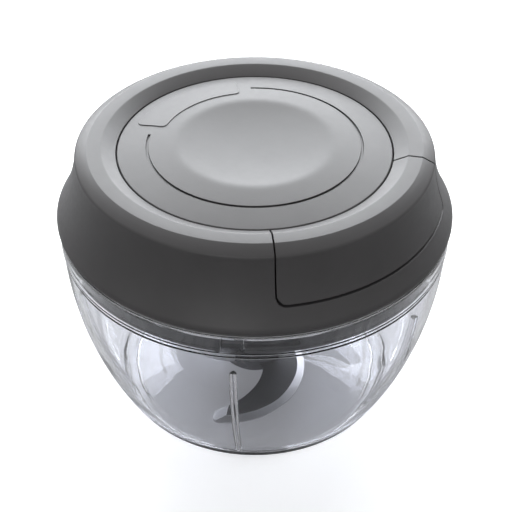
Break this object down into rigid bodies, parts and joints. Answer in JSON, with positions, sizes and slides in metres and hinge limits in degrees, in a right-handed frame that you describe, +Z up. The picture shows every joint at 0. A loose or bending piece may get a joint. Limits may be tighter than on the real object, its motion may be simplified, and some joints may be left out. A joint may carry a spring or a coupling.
{
  "type": "manual food chopper",
  "caption": "Pull-cord food chopper: clear bowl with sickle blades on a shaft, under a round lid with a wedge-shaped pull handle, cord reel, recoil spring and one-way drive.",
  "frame": {"origin": "centre of the bowl's foot ring, on the surface it stands on", "axes": "+Z up along the blade shaft, +X the way the handle is pulled out"},
  "size_m": [0.13, 0.13, 0.0961],
  "materials": {
    "clear_bowl": "clear moulded styrene plastic, polished",
    "lid_grey": "satin moulded plastic, warm dark grey",
    "floor_dark": "satin moulded plastic, near black",
    "hub_dark": "moulded plastic, dark",
    "blade_steel": "stainless sheet, satin, with a ground cutting bevel",
    "pin_steel": "turned stainless",
    "spring_steel": "blued spring strip",
    "screw_steel": "zinc plated",
    "eyelet": "nickel plated",
    "seal_rubber": "translucent silicone",
    "reel_plastic": "natural acetal",
    "drive_plastic": "natural acetal",
    "cord": "braided nylon"
  },
  "bodies": {
    "bowl": {"bowl": "clear_bowl", "pivot_pin": "pin_steel"},
    "blade": {"blade_shaft": "hub_dark", "blade_low": "blade_steel", "blade_mid": "blade_steel", "blade_high": "blade_steel"},
    "seal": {"seal_ring": "seal_rubber"},
    "lid": {"lid_base": "floor_dark", "lid_shell": "lid_grey", "top_disc": "lid_grey", "base_screws": "screw_steel", "bearing_bush": "drive_plastic", "axle": "pin_steel", "spool_cover": "reel_plastic", "cover_screws": "screw_steel", "cord_bush": "eyelet", "cord_lead": "cord"},
    "drive": {"drive_hub": "drive_plastic"},
    "reel": {"reel": "reel_plastic", "recoil_spring": "spring_steel", "spring_cover": "reel_plastic", "cord_winding": "cord"},
    "handle": {"handle_shell": "lid_grey", "handle_back": "floor_dark", "handle_screws": "screw_steel", "cord_knot": "cord", "cord_tail": "cord"}
  },
  "joints": [
    {"name": "lid_lift", "type": "slide", "parent": "bowl", "child": "seal", "axis": [0, 0, 1], "range_m": [0, 0.12]},
    {"name": "lid_twist", "type": "hinge", "parent": "seal", "child": "lid", "pos_m": [0, 0, 0.0695], "axis": [0, 0, 1], "range_deg": [-15, 0]},
    {"name": "handle_pull", "type": "slide", "parent": "lid", "child": "handle", "axis": [1, 0, 0], "range_m": [0, 0.32], "stiffness_N_per_m": 15, "springref_m": -0.35},
    {"name": "reel_spin", "type": "hinge", "parent": "lid", "child": "reel", "pos_m": [0, 0, 0.0838], "axis": [0, 0, 1], "range_deg": [0, 710], "deforming": ["recoil_spring", "cord_winding"]},
    {"name": "drive_spin", "type": "hinge", "parent": "lid", "child": "drive", "pos_m": [0, 0, 0.07], "axis": [0, 0, 1], "range_deg": [0, 710]},
    {"name": "blade_spin", "type": "hinge", "parent": "bowl", "child": "blade", "pos_m": [0, 0, 0.01], "axis": [0, 0, 1], "range_deg": [0, 710]}
  ],
  "couplings": [
    {"joint": "reel_spin", "follows": "handle_pull", "rad_per_m": 38.462},
    {"joint": "drive_spin", "follows": "handle_pull", "rad_per_m": 38.462},
    {"joint": "blade_spin", "follows": "handle_pull", "rad_per_m": 38.462}
  ]
}
